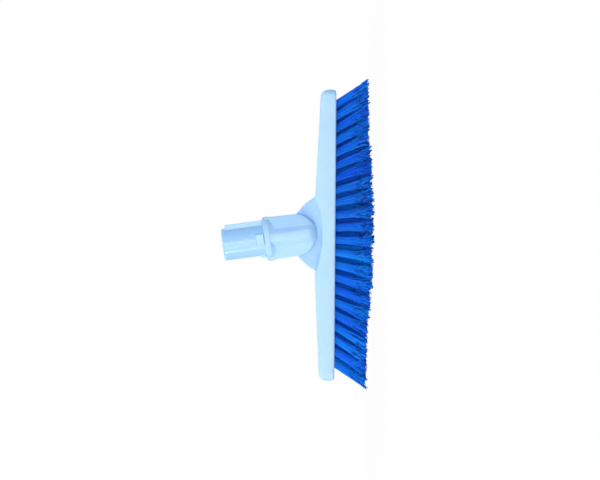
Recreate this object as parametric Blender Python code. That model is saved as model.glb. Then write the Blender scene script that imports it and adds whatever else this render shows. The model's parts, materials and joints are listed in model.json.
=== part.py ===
"""Swivel grout brush: a slim plastic block with two staggered rows of leaning tufts, and a
threaded handle socket in a fork that swings on the block's lug. Metres, +Z up. The brush stands
on its bristle tips with its long side along X, and its socket leans towards -X."""

import math
import random

import bmesh
import bpy
from mathutils import Vector

# Gaps between pieces, and how far a cutter runs past what it cuts
CLEARANCE = 0.0003
OVERRUN = 0.002

# Block: a bar that thins towards both ends, hollowed a little under the fork
BLOCK_LENGTH = 0.2302
BLOCK_WIDTH = 0.027
BLOCK_THICKNESS = 0.0175
BLOCK_END_THICKNESS = 0.0121
BRISTLE_FACE_HEIGHT = 0.0301
BLOCK_EDGE_RADIUS = 0.0014
BLOCK_TOP_END_RADIUS = 0.0060
BLOCK_FOOT_END_RADIUS = 0.0028
BLOCK_PLAN_END_RADIUS = 0.0056
SCOOP_HALF_LENGTH = 0.0300
SCOOP_FLOOR_THICKNESS = 0.0106

# Lug: a flat plate with a round edge, standing in the middle of the block
LUG_THICKNESS = 0.0100
LUG_RADIUS = 0.0330
LUG_CENTRE_RISE = 0.0014
LUG_NOSE_RADIUS = 0.0110
LUG_EDGE_CHAMFER = 0.0005
PIVOT_RISE = 0.0313

# Pivot pin: a headed pin, pushed in from the far cheek into a blind hole in the near one
PIN_RADIUS = 0.0030
PIN_HEAD_RADIUS = 0.0050
PIN_HEAD_THICKNESS = 0.0025
PIN_CHAMFER = 0.0004
PIN_SEAT_DEPTH = 0.0096

# Fork: two cheeks with round ends, sloping back on both sides of a rib, under an oval collar
REST_TILT = math.radians(8.2)
FORK_END_RADIUS = 0.0165
FORK_RIM_HALF_WIDTH = 0.0176
CHEEK_THICKNESS = 0.0063
CHEEK_EDGE_RADIUS = 0.0045
CHEEK_FACET_ANGLE = math.radians(12.5)
RIB_WIDTH = 0.0102
RIB_HEIGHT = 0.0014
RIB_REACH = 0.0132
RIB_RUNOUT = 0.0050
COLLAR_REACH = 0.0249
COLLAR_RIM_DEPTH = 0.0043
COLLAR_HALF_DEPTH = 0.0150
COLLAR_BLEND = 0.0042
COLLAR_CHAMFER = 0.0006
COLLAR_SQUARENESS = 2.5
COLLAR_SEAT_DEPTH = 0.0035
COLLAR_WEB_THICKNESS = 0.0029

# Handle socket: a tube with a handle thread inside, and stop lugs that rest on the collar
SOCKET_RADIUS = 0.0128
SOCKET_REACH = 0.0584
SOCKET_FLOOR = 0.0030
SOCKET_CHAMFER = 0.0009
SOCKET_BORE_RADIUS = 0.0098
THREAD_PITCH = 0.00508
THREAD_HEIGHT = 0.0016
THREAD_FOOT = 0.0026
THREAD_CREST = 0.0010
THREAD_TURNS = 4
THREAD_LEAD_IN = 0.0050
KEY_WIDTH = 0.0087
KEY_HEIGHT = 0.0025
KEY_SETBACK = 0.0031
STOP_LENGTH = 0.0066
STOP_HEIGHT = 0.0017
STOP_SLOPE = 0.0030
STOP_EDGE_CHAMFER = 0.0005

# Tufts: two rows of holes, the far row half a pitch along from the near one
ROW_END_MARGIN = 0.0125
NEAR_ROW_COUNT = 22
ROW_OFFSET = 0.0055
TUFT_RADIUS = 0.0030
TUFT_DEPTH = 0.0066
END_LEAN = math.radians(31.5)
TIP_CROWN = 0.0045
TIP_FLAT_CUT = 0.0005
CROWN_MIDDLE_SHARE = 0.04
CROWN_START_SHARE = 0.16
CROWN_END_SHARE = 0.83
TIP_RAGGEDNESS = 0.0011
FAN_LENGTH = 0.0370
STRAND_RING_RADIUS = 0.00205
STRAND_RADIUS = 0.00075
STRANDS_IN_RING = 8
STRAND_SIDES = 3
ANCHOR_WIDTH = 0.0050
ANCHOR_THICKNESS = 0.0006
ANCHOR_RISE = 0.0008
SEED = 7

# How finely round shapes are drawn
ROUND_SIDES = 32
PIN_SIDES = 24
TUFT_SIDES = 12
ARC_STEPS = 11
CORNER_STEPS = 3
END_STEPS = 5
SCOOP_STEPS = 9
THREAD_STEPS = 14
SMOOTH_ANGLE = math.radians(35.0)

# Places worked out from the sizes above
HALF_LENGTH = BLOCK_LENGTH / 2
PIVOT_HEIGHT = BRISTLE_FACE_HEIGHT + PIVOT_RISE
SLOT_HALF_WIDTH = LUG_THICKNESS / 2 + CLEARANCE
CHEEK_FACE = SLOT_HALF_WIDTH + CHEEK_THICKNESS
NEAR_ROW_HALF_LENGTH = HALF_LENGTH - ROW_END_MARGIN
TUFT_PITCH = 2 * NEAR_ROW_HALF_LENGTH / (NEAR_ROW_COUNT - 1)
COLLAR_RIM_BASE = COLLAR_REACH - COLLAR_RIM_DEPTH
SEAT_FLOOR = COLLAR_REACH - COLLAR_SEAT_DEPTH
SLOT_DEPTH = SEAT_FLOOR - COLLAR_WEB_THICKNESS
SPIGOT_END = SEAT_FLOOR + CLEARANCE
STOP_BASE = COLLAR_REACH + CLEARANCE


def material(name, colour, roughness, metallic):
    made = bpy.data.materials.new(name)
    made.use_nodes = True
    shader = made.node_tree.nodes["Principled BSDF"]
    shader.inputs["Base Color"].default_value = (*colour, 1)
    shader.inputs["Roughness"].default_value = roughness
    shader.inputs["Metallic"].default_value = metallic
    made.diffuse_color = (*colour, 1)
    return made


def loft(shape, sections):
    """Join sections, which are closed loops of as many points each, and close both ends."""
    rings = [[shape.verts.new(point) for point in section] for section in sections]
    for lower, upper in zip(rings, rings[1:]):
        for i, corner in enumerate(lower):
            after = (i + 1) % len(lower)
            shape.faces.new((corner, lower[after], upper[after], upper[i]))
    shape.faces.new(reversed(rings[0]))
    shape.faces.new(rings[-1])


def build(name, shape, finish=None, parent=None):
    """A named object from a finished bmesh; one without a finish is a cutter or a tool."""
    bmesh.ops.recalc_face_normals(shape, faces=shape.faces)
    mesh = bpy.data.meshes.new(name)
    shape.to_mesh(mesh)
    shape.free()
    mesh.shade_smooth()
    mesh.set_sharp_from_angle(angle=SMOOTH_ANGLE)
    made = bpy.data.objects.new(name, mesh)
    bpy.context.scene.collection.objects.link(made)
    made.parent = parent
    if finish:
        mesh.materials.append(finish)
    else:
        made.hide_render = True
        made.display_type = "WIRE"
    return made


def combine(target, tool, operation):
    boolean = target.modifiers.new(tool.name, "BOOLEAN")
    boolean.operation = operation
    boolean.object = tool
    boolean.solver = "EXACT"


def bevel(target, width, steps, angle):
    rounding = target.modifiers.new("rounded edges", "BEVEL")
    rounding.width = width
    rounding.segments = steps
    rounding.limit_method = "ANGLE"
    rounding.angle_limit = angle


def arc(centre_x, centre_z, radius, start, end, steps):
    """Points (x, z) along a round stretch of an outline."""
    points = []
    for i in range(steps + 1):
        angle = start + (end - start) * i / steps
        points.append((centre_x + radius * math.cos(angle), centre_z + radius * math.sin(angle)))
    return points


def plate(outline, near, far):
    """A plate whose outline lies in XZ, between two depths along Y."""
    shape = bmesh.new()
    loft(shape, [[Vector((x, y, z)) for x, z in outline] for y in (near, far)])
    return shape


def bar(outline, low, high):
    """A bar whose outline lies in XY, between two heights along Z."""
    shape = bmesh.new()
    loft(shape, [[Vector((x, y, z)) for x, y in outline] for z in (low, high)])
    return shape


def rectangle(low_x, high_x, low_y, high_y):
    return [(low_x, low_y), (high_x, low_y), (high_x, high_y), (low_x, high_y)]


def turned(stations, sides):
    """A turned shape about Z from (radius, height) stations."""
    shape = bmesh.new()
    sections = []
    for radius, height in stations:
        ring = arc(0, 0, radius, 0, math.tau * (sides - 1) / sides, sides - 1)
        sections.append([Vector((x, y, height)) for x, y in ring])
    loft(shape, sections)
    return shape


def end_inset(x, radius):
    """How far a rounded end has drawn in at a place along the block."""
    beyond = abs(x) - (HALF_LENGTH - radius)
    if beyond <= 0:
        return 0
    return radius - math.sqrt(max(radius**2 - beyond**2, 0))


def block_thickness(x):
    """The block's full thickness at a place along it, before its ends are rounded."""
    taper = (BLOCK_THICKNESS - BLOCK_END_THICKNESS) / HALF_LENGTH
    shoulder = BLOCK_THICKNESS - taper * SCOOP_HALF_LENGTH
    sag = shoulder - SCOOP_FLOOR_THICKNESS
    radius = (SCOOP_HALF_LENGTH**2 + sag**2) / (2 * sag)
    if abs(x) < SCOOP_HALF_LENGTH:
        return SCOOP_FLOOR_THICKNESS + radius - math.sqrt(radius**2 - x**2)
    return BLOCK_THICKNESS - taper * abs(x)


def block_section(x):
    """The block's cross-section at x: a rectangle with rounded corners."""
    half_width = BLOCK_WIDTH / 2 - end_inset(x, BLOCK_PLAN_END_RADIUS)
    foot = BRISTLE_FACE_HEIGHT + end_inset(x, BLOCK_FOOT_END_RADIUS)
    top = BRISTLE_FACE_HEIGHT + block_thickness(x) - end_inset(x, BLOCK_TOP_END_RADIUS)
    across = half_width - BLOCK_EDGE_RADIUS
    low = foot + BLOCK_EDGE_RADIUS
    high = top - BLOCK_EDGE_RADIUS
    corners = [(across, low, -0.5), (across, high, 0), (-across, high, 0.5), (-across, low, 1)]
    points = []
    for y, z, turn in corners:
        start = turn * math.pi
        points += arc(y, z, BLOCK_EDGE_RADIUS, start, start + math.pi / 2, CORNER_STEPS)
    return [Vector((x, y, z)) for y, z in points]


def block_stations():
    """Places along the block where its section changes, from one end to the other."""
    end_start = HALF_LENGTH - BLOCK_TOP_END_RADIUS
    half = [SCOOP_HALF_LENGTH * i / SCOOP_STEPS for i in range(1, SCOOP_STEPS + 1)]
    for i in range(END_STEPS + 1):
        half.append(end_start + BLOCK_TOP_END_RADIUS * math.sin(math.pi / 2 * i / END_STEPS))
    return [-x for x in reversed(half)] + [0] + half


def lug_outline():
    """The lug's plate: a large round edge that runs straight onto the small nose at the pivot."""
    centre = BRISTLE_FACE_HEIGHT + LUG_CENTRE_RISE
    slope = math.asin((LUG_RADIUS - LUG_NOSE_RADIUS) / (PIVOT_HEIGHT - centre))
    start = math.asin(SCOOP_FLOOR_THICKNESS / 2 / LUG_RADIUS)
    right = arc(0, centre, LUG_RADIUS, start, slope, ARC_STEPS)
    nose = arc(0, PIVOT_HEIGHT, LUG_NOSE_RADIUS, slope, math.pi - slope, ARC_STEPS)
    left = [(-x, z) for x, z in reversed(right)]
    return right + nose + left


def tuft_root(place, side):
    """Where a tuft's axis meets the bristle face, and the way that it leans."""
    lean = END_LEAN * math.sin(math.pi / 2 * place / NEAR_ROW_HALF_LENGTH)
    root = Vector((place, side * ROW_OFFSET, BRISTLE_FACE_HEIGHT))
    return root, Vector((math.sin(lean), 0, -math.cos(lean)))


def tip_height(x):
    """The line that the tips are trimmed to: flat where the brush stands, rising to both ends."""
    reach = NEAR_ROW_HALF_LENGTH + BRISTLE_FACE_HEIGHT * math.tan(END_LEAN)
    beyond = abs(x / reach - CROWN_MIDDLE_SHARE) - CROWN_START_SHARE
    share = min(max(beyond / (CROWN_END_SHARE - CROWN_START_SHARE), 0), 1)
    return (TIP_CROWN + TIP_FLAT_CUT) * share**2 * (3 - 2 * share) - TIP_FLAT_CUT


def across(way):
    """Two directions square to a leaning one, the first in the leaning plane."""
    depth = Vector((0, 1, 0))
    return depth.cross(way), depth


def ring_about(centre, way, radius, sides):
    """A ring of points square to a leaning axis."""
    first, second = across(way)
    turns = [math.tau * i / sides for i in range(sides)]
    return [centre + radius * (math.cos(a) * first + math.sin(a) * second) for a in turns]


def slide_to(points, way, height):
    """The points moved along a leaning way until they lie at a height."""
    return [point + way * ((height - point.z) / way.z) for point in points]


def fill_between(shape, outer, inner_rings):
    """A flat face inside a ring, left open at the rings in it."""
    edges = []
    for ring in [outer, *inner_rings]:
        for i, corner in enumerate(ring):
            pair = (corner, ring[(i + 1) % len(ring)])
            edges.append(shape.edges.get(pair) or shape.edges.new(pair))
    bmesh.ops.triangle_fill(shape, use_beauty=True, edges=edges)


def walls(shape, upper, lower):
    for i, corner in enumerate(upper):
        after = (i + 1) % len(upper)
        shape.faces.new((corner, upper[after], lower[after], lower[i]))


def tuft(name, place, side, chance, finish):
    """One tuft: its root with the anchor across it, and its strands, all fused at the face."""
    root, way = tuft_root(place, side)
    shape = bmesh.new()
    deep = root - way * TUFT_DEPTH
    top_ring = ring_about(deep, way, TUFT_RADIUS, TUFT_SIDES)
    foot_ring = slide_to(top_ring, way, BRISTLE_FACE_HEIGHT)
    top = [shape.verts.new(point) for point in top_ring]
    foot = [shape.verts.new(point) for point in foot_ring]
    walls(shape, top, foot)

    first, second = across(way)
    anchor = [
        deep + first * (a * ANCHOR_THICKNESS / 2) + second * (b * ANCHOR_WIDTH / 2)
        for a, b in ((1, 1), (-1, 1), (-1, -1), (1, -1))
    ]
    anchor_foot = [shape.verts.new(point) for point in anchor]
    anchor_top = [shape.verts.new(point - way * ANCHOR_RISE) for point in anchor]
    walls(shape, anchor_top, anchor_foot)
    shape.faces.new(anchor_top)
    fill_between(shape, top, [anchor_foot])

    strand_feet = []
    offsets = [Vector((0, 0, 0))]
    offsets += ring_about(Vector((0, 0, 0)), way, STRAND_RING_RADIUS, STRANDS_IN_RING)
    for offset in offsets:
        strand_way = (way * FAN_LENGTH + offset).normalized()
        start = ring_about(root + offset, strand_way, STRAND_RADIUS, STRAND_SIDES)
        start = slide_to(start, strand_way, BRISTLE_FACE_HEIGHT)
        middle = slide_to([root + offset], strand_way, 0)[0]
        ragged = TIP_RAGGEDNESS * chance.random()
        end = slide_to(start, strand_way, max(tip_height(middle.x) + ragged, 0))
        start_ring = [shape.verts.new(point) for point in start]
        end_ring = [shape.verts.new(point) for point in end]
        walls(shape, start_ring, end_ring)
        shape.faces.new(end_ring)
        strand_feet.append(start_ring)
    fill_between(shape, foot, strand_feet)
    return build(name, shape, finish)


def tuft_places():
    """Every tuft's name, place along the block and side, near row first."""
    places = []
    for row, side, count in (("near", -1, NEAR_ROW_COUNT), ("far", 1, NEAR_ROW_COUNT - 1)):
        for i in range(count):
            place = (i - (count - 1) / 2) * TUFT_PITCH
            places.append((f"tuft_{row}_{i + 1:02d}", place, side))
    return places


def tuft_holes():
    """One cutter for all the blind holes that the tufts are set in."""
    shape = bmesh.new()
    for _, place, side in tuft_places():
        root, way = tuft_root(place, side)
        deep = root - way * (TUFT_DEPTH + ANCHOR_RISE + CLEARANCE)
        ring = ring_about(deep, way, TUFT_RADIUS + CLEARANCE, TUFT_SIDES)
        loft(shape, [ring, slide_to(ring, way, BRISTLE_FACE_HEIGHT - OVERRUN)])
    return build("tuft_hole_cutter", shape)


def brush_block(finish):
    shape = bmesh.new()
    loft(shape, [block_section(x) for x in block_stations()])
    block = build("brush_block", shape, finish)

    lug = build("lug_tool", plate(lug_outline(), -LUG_THICKNESS / 2, LUG_THICKNESS / 2))
    bevel(lug, LUG_EDGE_CHAMFER, 1, math.radians(60))
    combine(block, lug, "UNION")
    combine(block, tuft_holes(), "DIFFERENCE")

    radius = PIN_RADIUS + CLEARANCE
    pin_hole = arc(0, PIVOT_HEIGHT, radius, 0, math.tau * (PIN_SIDES - 1) / PIN_SIDES, PIN_SIDES - 1)
    half = LUG_THICKNESS / 2 + OVERRUN
    combine(block, build("lug_hole_cutter", plate(pin_hole, -half, half)), "DIFFERENCE")
    return block


def swivel_axis():
    """An empty on the pivot: the swivel's pieces are placed from it and lean with it."""
    axis = bpy.data.objects.new("swivel_axis", None)
    axis.location = (0, 0, PIVOT_HEIGHT)
    axis.rotation_euler = (0, -REST_TILT, 0)
    bpy.context.scene.collection.objects.link(axis)
    return axis


def oval(half_width, half_depth, height):
    """A ring between an ellipse and a rectangle, for the collar."""
    power = 2 / COLLAR_SQUARENESS
    points = []
    for i in range(ROUND_SIDES):
        angle = math.tau * i / ROUND_SIDES
        c, s = math.cos(angle), math.sin(angle)
        x = half_width * math.copysign(abs(c) ** power, c)
        y = half_depth * math.copysign(abs(s) ** power, s)
        points.append(Vector((x, y, height)))
    return points


def collar(axis):
    """The oval collar: a rim band, and a hollow curve from it down to the cheeks."""
    inner_width = FORK_END_RADIUS
    inner_depth = CHEEK_FACE - COLLAR_CHAMFER
    sections = [oval(inner_width, inner_depth, SLOT_DEPTH - COLLAR_BLEND)]
    for i in range(1, CORNER_STEPS + 1):
        angle = math.pi / 2 * i / CORNER_STEPS
        outward = 1 - math.cos(angle)
        half_width = inner_width + (FORK_RIM_HALF_WIDTH - inner_width) * outward
        half_depth = inner_depth + (COLLAR_HALF_DEPTH - inner_depth) * outward
        height = COLLAR_RIM_BASE - COLLAR_BLEND * (1 - math.sin(angle))
        sections.append(oval(half_width, half_depth, height))
    top_inset = COLLAR_CHAMFER
    sections.append(oval(FORK_RIM_HALF_WIDTH, COLLAR_HALF_DEPTH, COLLAR_REACH - top_inset))
    sections.append(oval(FORK_RIM_HALF_WIDTH - top_inset, COLLAR_HALF_DEPTH - top_inset, COLLAR_REACH))
    shape = bmesh.new()
    loft(shape, sections)
    return build("collar_tool", shape, parent=axis)


def cheek_ribs(axis):
    """The rib that runs down the middle of both cheeks and dies out near their round ends."""
    face = CHEEK_FACE + RIB_HEIGHT
    profile = [
        (-face, COLLAR_RIM_BASE),
        (-face, RIB_RUNOUT - RIB_REACH),
        (-CHEEK_FACE + RIB_HEIGHT, -RIB_REACH),
        (CHEEK_FACE - RIB_HEIGHT, -RIB_REACH),
        (face, RIB_RUNOUT - RIB_REACH),
        (face, COLLAR_RIM_BASE),
    ]
    shape = bmesh.new()
    loft(shape, [[Vector((x, y, z)) for y, z in profile] for x in (-RIB_WIDTH / 2, RIB_WIDTH / 2)])
    ribs = build("rib_tool", shape, parent=axis)
    bevel(ribs, RIB_HEIGHT / 3, 2, math.radians(60))
    return ribs


def cheek_facets(axis):
    """A prism around the fork that slopes both cheeks back from the rib to the sides."""
    ridge = RIB_WIDTH / 2
    crest = CHEEK_FACE + CLEARANCE
    side = FORK_RIM_HALF_WIDTH + OVERRUN
    low = crest - (side - ridge) * math.tan(CHEEK_FACET_ANGLE)
    far = [(side, low), (ridge, crest), (-ridge, crest), (-side, low)]
    near = [(-x, -y) for x, y in far]
    top = COLLAR_REACH - COLLAR_RIM_DEPTH / 2
    return build("cheek_facet_tool", bar(far + near, -FORK_END_RADIUS - OVERRUN, top), parent=axis)


def pin_bore(axis):
    """The pin's stepped bore in the fork, blind in the near cheek."""
    radius = PIN_RADIUS + CLEARANCE
    head = PIN_HEAD_RADIUS + CLEARANCE
    outside = CHEEK_FACE + RIB_HEIGHT + OVERRUN
    stations = [(radius, -PIN_SEAT_DEPTH), (radius, PIN_SEAT_DEPTH), (head, PIN_SEAT_DEPTH), (head, outside)]
    cutter = build("pin_bore_cutter", turned(stations, PIN_SIDES), parent=axis)
    cutter.rotation_euler = (-math.pi / 2, 0, 0)
    return cutter


def swivel_yoke(axis, finish):
    outline = arc(0, 0, FORK_END_RADIUS, -math.pi, 0, 2 * ARC_STEPS)
    side = FORK_RIM_HALF_WIDTH - COLLAR_CHAMFER / 2
    top = COLLAR_REACH + CHEEK_EDGE_RADIUS
    outline += [(side, top), (-side, top)]
    yoke = build("swivel_yoke", plate(outline, -CHEEK_FACE, CHEEK_FACE), finish, axis)
    bevel(yoke, CHEEK_EDGE_RADIUS, CORNER_STEPS, math.radians(60))
    combine(yoke, cheek_facets(axis), "INTERSECT")
    combine(yoke, collar(axis), "UNION")
    combine(yoke, cheek_ribs(axis), "UNION")

    past = FORK_RIM_HALF_WIDTH + OVERRUN
    slot = bar(rectangle(-past, past, -SLOT_HALF_WIDTH, SLOT_HALF_WIDTH), -past, SLOT_DEPTH)
    combine(yoke, build("slot_cutter", slot, parent=axis), "DIFFERENCE")
    socket = SOCKET_RADIUS + CLEARANCE
    spigot_bore = turned([(socket, SEAT_FLOOR), (socket, COLLAR_REACH + OVERRUN)], ROUND_SIDES)
    combine(yoke, build("spigot_bore_cutter", spigot_bore, parent=axis), "DIFFERENCE")
    combine(yoke, pin_bore(axis), "DIFFERENCE")
    return yoke


def pivot_pin(axis, finish):
    seat = PIN_SEAT_DEPTH + CLEARANCE
    end = CLEARANCE - PIN_SEAT_DEPTH
    crown = seat + PIN_HEAD_THICKNESS
    stations = [
        (PIN_RADIUS - PIN_CHAMFER, end),
        (PIN_RADIUS, end + PIN_CHAMFER),
        (PIN_RADIUS, seat),
        (PIN_HEAD_RADIUS, seat),
        (PIN_HEAD_RADIUS, crown - PIN_CHAMFER),
        (PIN_HEAD_RADIUS - PIN_CHAMFER, crown),
    ]
    pin = build("pivot_pin", turned(stations, PIN_SIDES), finish, axis)
    pin.rotation_euler = (-math.pi / 2, 0, 0)
    return pin


def thread_ridge(axis):
    """The handle thread's ridge, one unbroken helix with its foot sunk in the bore's wall."""
    foot = SOCKET_BORE_RADIUS + THREAD_HEIGHT / 2
    crest = SOCKET_BORE_RADIUS - THREAD_HEIGHT
    start = SOCKET_REACH - THREAD_LEAD_IN - THREAD_TURNS * THREAD_PITCH
    section = [
        (foot, -THREAD_FOOT / 2),
        (foot, THREAD_FOOT / 2),
        (crest, THREAD_CREST / 2),
        (crest, -THREAD_CREST / 2),
    ]
    rings = []
    for i in range(THREAD_TURNS * THREAD_STEPS + 1):
        turn = i / THREAD_STEPS
        c, s = math.cos(math.tau * turn), math.sin(math.tau * turn)
        height = start + THREAD_PITCH * turn
        rings.append([Vector((radius * c, radius * s, height + rise)) for radius, rise in section])
    shape = bmesh.new()
    loft(shape, rings)
    return build("thread_tool", shape, parent=axis)


def stop(name, axis, turn, length, height, slope):
    """A stop lug along the tube's side, with its foot on the collar and a slope at its far end."""
    inner = SOCKET_BORE_RADIUS + (SOCKET_RADIUS - SOCKET_BORE_RADIUS) / 2
    outer = SOCKET_RADIUS + height
    top = STOP_BASE + length
    profile = [(inner, STOP_BASE), (outer, STOP_BASE), (outer, top - slope), (inner, top)]
    lug = build(name, plate(profile, -KEY_WIDTH / 2, KEY_WIDTH / 2), parent=axis)
    lug.rotation_euler = (0, 0, turn)
    bevel(lug, STOP_EDGE_CHAMFER, 1, math.radians(60))
    return lug


def handle_socket(axis, finish):
    chamfer = SOCKET_CHAMFER
    outside = [
        (SOCKET_RADIUS - chamfer, SPIGOT_END),
        (SOCKET_RADIUS, SPIGOT_END + chamfer),
        (SOCKET_RADIUS, SOCKET_REACH - chamfer),
        (SOCKET_RADIUS - chamfer, SOCKET_REACH),
    ]
    socket = build("handle_socket", turned(outside, ROUND_SIDES), finish, axis)
    key_length = SOCKET_REACH - KEY_SETBACK - STOP_BASE
    stops = [
        ("key_tool", 0, key_length, KEY_HEIGHT, STOP_EDGE_CHAMFER),
        ("far_stop_tool", math.pi / 2, STOP_LENGTH, STOP_HEIGHT, STOP_EDGE_CHAMFER),
        ("low_stop_tool", math.pi, STOP_LENGTH, STOP_HEIGHT, STOP_SLOPE),
        ("near_stop_tool", -math.pi / 2, STOP_LENGTH, STOP_HEIGHT, STOP_EDGE_CHAMFER),
    ]
    for name, turn, length, height, slope in stops:
        combine(socket, stop(name, axis, turn, length, height, slope), "UNION")

    bore = [
        (SOCKET_BORE_RADIUS, SPIGOT_END + SOCKET_FLOOR),
        (SOCKET_BORE_RADIUS, SOCKET_REACH - chamfer),
        (SOCKET_BORE_RADIUS + chamfer + OVERRUN, SOCKET_REACH + OVERRUN),
    ]
    combine(socket, build("bore_cutter", turned(bore, ROUND_SIDES), parent=axis), "DIFFERENCE")
    combine(socket, thread_ridge(axis), "UNION")
    return socket


for old in list(bpy.data.objects):
    bpy.data.objects.remove(old)

block_plastic = material("block_plastic", (0.497, 0.762, 0.991), 0.38, 0)
yoke_plastic = material("yoke_plastic", (0.497, 0.762, 0.991), 0.36, 0)
socket_plastic = material("socket_plastic", (0.434, 0.716, 0.982), 0.36, 0)
pin_steel = material("pin_steel", (0.62, 0.63, 0.65), 0.3, 1)
bristle_fibre = material("bristle_fibre", (0.006, 0.091, 0.485), 0.42, 0)

brush_block(block_plastic)
swivel = swivel_axis()
swivel_yoke(swivel, yoke_plastic)
pivot_pin(swivel, pin_steel)
handle_socket(swivel, socket_plastic)
trim = random.Random(SEED)
for tuft_name, tuft_place, tuft_side in tuft_places():
    tuft(tuft_name, tuft_place, tuft_side, trim, bristle_fibre)
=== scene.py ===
"""The looks of the swivel grout brush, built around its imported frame."""

import json
import math

import bmesh
import bpy
from mathutils import Matrix, Vector


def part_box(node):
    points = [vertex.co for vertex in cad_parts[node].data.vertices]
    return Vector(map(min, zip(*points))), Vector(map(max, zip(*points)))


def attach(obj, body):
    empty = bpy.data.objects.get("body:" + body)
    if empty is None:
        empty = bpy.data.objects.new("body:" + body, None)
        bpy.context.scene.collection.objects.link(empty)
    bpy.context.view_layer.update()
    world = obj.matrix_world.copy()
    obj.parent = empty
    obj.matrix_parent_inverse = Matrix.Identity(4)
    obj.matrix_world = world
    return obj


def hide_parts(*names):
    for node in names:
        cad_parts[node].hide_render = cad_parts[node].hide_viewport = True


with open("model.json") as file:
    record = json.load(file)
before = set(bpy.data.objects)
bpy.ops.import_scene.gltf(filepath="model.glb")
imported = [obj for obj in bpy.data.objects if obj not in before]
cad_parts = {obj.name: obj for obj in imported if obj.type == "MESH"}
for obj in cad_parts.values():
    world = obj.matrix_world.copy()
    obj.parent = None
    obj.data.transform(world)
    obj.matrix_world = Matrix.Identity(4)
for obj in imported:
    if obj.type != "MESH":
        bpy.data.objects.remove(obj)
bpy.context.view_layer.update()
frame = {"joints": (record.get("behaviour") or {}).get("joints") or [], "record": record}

# Places read from the frame
BLOCK_LOW, BLOCK_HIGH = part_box("brush_block")
HALF_LENGTH = BLOCK_HIGH.x
FACE_HEIGHT = BLOCK_LOW.z
PIVOT = Vector(frame["joints"][0]["pos_m"])
MOUNTS = {mount["name"]: mount for mount in frame["record"]["mounts"]}
SWIVEL_WAY = Vector(MOUNTS["handle_mouth"]["axis"])
NODES_NEAR = [f"tuft_near_{i:02d}" for i in range(1, 23)]
NODES_FAR = [f"tuft_far_{i:02d}" for i in range(1, 22)]

# The photograph, in pixels and metres
PHOTO_WIDTH = 600
PHOTO_HEIGHT = 480
PHOTO_BLOCK_LENGTH = 292.2
PHOTO_FACE_MIDDLE = (335.45, 235.2)
PHOTO_ROLL = math.radians(0.42)
CAMERA_DISTANCE = 1.7
SENSOR_WIDTH = 36.0
CLIP_START = 0.05
CLIP_END = 60.0

# Bristles: the rows, one tuft, its clumps, the tips and the crimp
ROW_END_MARGIN = 0.0125
ROW_OFFSET = 0.0055
ROW_SHIFT = 0.0012
END_LEAN = math.radians(32.4)
FILAMENTS_IN_TUFT = 120
FILAMENT_RADIUS = 0.00029
FILAMENT_SIDES = 3
FILAMENT_POINTS = 13
POINT_CROWDING = 1.4
ROOT_DEPTH = 0.0030
ROOT_RADIUS = 0.00275
ROOT_JITTER_SHARES = (0.2, 0.8)
TUFT_TURN_SHARE = 0.27
TIP_RADIUS = 0.0056
FLARE_POWER = 2.8
END_POWER = 12.0
CLUMPS_IN_TUFT = 6
CLUMP_NUMBER_STRIDE = 64.0
CLUMP_OUT_SHARES = (0.30, 0.95)
CLUMP_SCATTER = 0.0013
CLUMP_GATHER = 0.78
LOOSE_SHARE = 0.50
LOOSE_SCATTER = 0.0018
LOOSE_TRIM = 0.0012
TUFT_TRIM = 0.0008
CLUMP_TRIM = 0.0026
CLUMP_DISH = 0.60
FILAMENT_TRIM = 0.0022
FILAMENT_TRIM_POWER = 0.6
LONGEST_TRIM = 0.0029
TIP_PROUD = 0.0013
TIP_CROWN = 0.0045
CROWN_CENTRE = 0.0048
CROWN_START = 0.0194
CROWN_END = 0.1005
LEAN_SCATTER = 0.022
TUFT_LEAN_SCATTER = 0.028
CRIMP = 0.00125
CRIMP_SHARES = (0.4, 1.0)
CRIMP_TURNS = 26.0
CRIMP_POWER = 2.6
CRIMP_WAY_SCATTER = 0.5
CRIMP_PHASE_SCATTER = 0.7
END_CRIMP_LOSS = 0.6
NEAR_SEED = 3
FAR_SEED = 53

# Block and lug
BLOCK_WIDTH = 0.0270
BLOCK_THICKNESS = 0.0175
BLOCK_END_THICKNESS = 0.0121
BLOCK_EDGE_RADIUS = 0.0016
BLOCK_EDGE_STEPS = 7
BLOCK_END_STEPS = 12
TOP_END_RADIUS = 0.0060
FOOT_END_RADIUS = 0.0028
PLAN_END_RADIUS = 0.0056
SCOOP_HALF_LENGTH = 0.0300
SCOOP_FLOOR_THICKNESS = 0.0106
SCOOP_STEPS = 20
LUG_THICKNESS = 0.0100
LUG_RADIUS = 0.0326
LUG_SHIFT = 0.0012
LUG_CENTRE_RISE = 0.0014
LUG_NOSE_RADIUS = 0.0110
LUG_EDGE_RADIUS = 0.0008
LUG_EDGE_STEPS = 4
LUG_STEPS = 40
LUG_NOSE_STEPS = 32
LUG_BORE_SIDES = 48
HOLE_RADIUS = 0.0033
HOLE_DEPTH = 0.0074
HOLE_SIDES = 20

# Yoke
CHEEK_FACE = 0.0116
SLOT_HALF_WIDTH = 0.0053
SLOT_DEPTH = 0.0185
FORK_END_RADIUS = 0.0165
FORK_END_STEPS = 64
CHEEK_EDGE_RADIUS = 0.0034
CHEEK_EDGE_STEPS = 8
CHEEK_FACET_SLOPE = 0.28
CHEEK_FACET_LIFT = 0.0002
RIB_HALF_WIDTH = 0.0032
RIB_FOOT_SPREAD = 0.0036
RIB_HEIGHT = 0.0032
RIB_CROWN = 0.0003
RIB_REACH = 0.0149
RIB_RUNOUT = 0.0038
RIB_RISE_POWER = 0.8
RIB_LEAST_HALF_WIDTH = 0.0004
RIB_STEPS = 16
RIB_STEP_POWER = 2.2
COLLAR_HALF_WIDTH = 0.0176
COLLAR_HALF_DEPTH = 0.0150
COLLAR_REACH = 0.0249
COLLAR_RIM_DEPTH = 0.0043
COLLAR_BLEND = 0.0080
COLLAR_BLEND_POWER = 1.8
COLLAR_BLEND_STEPS = 12
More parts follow.
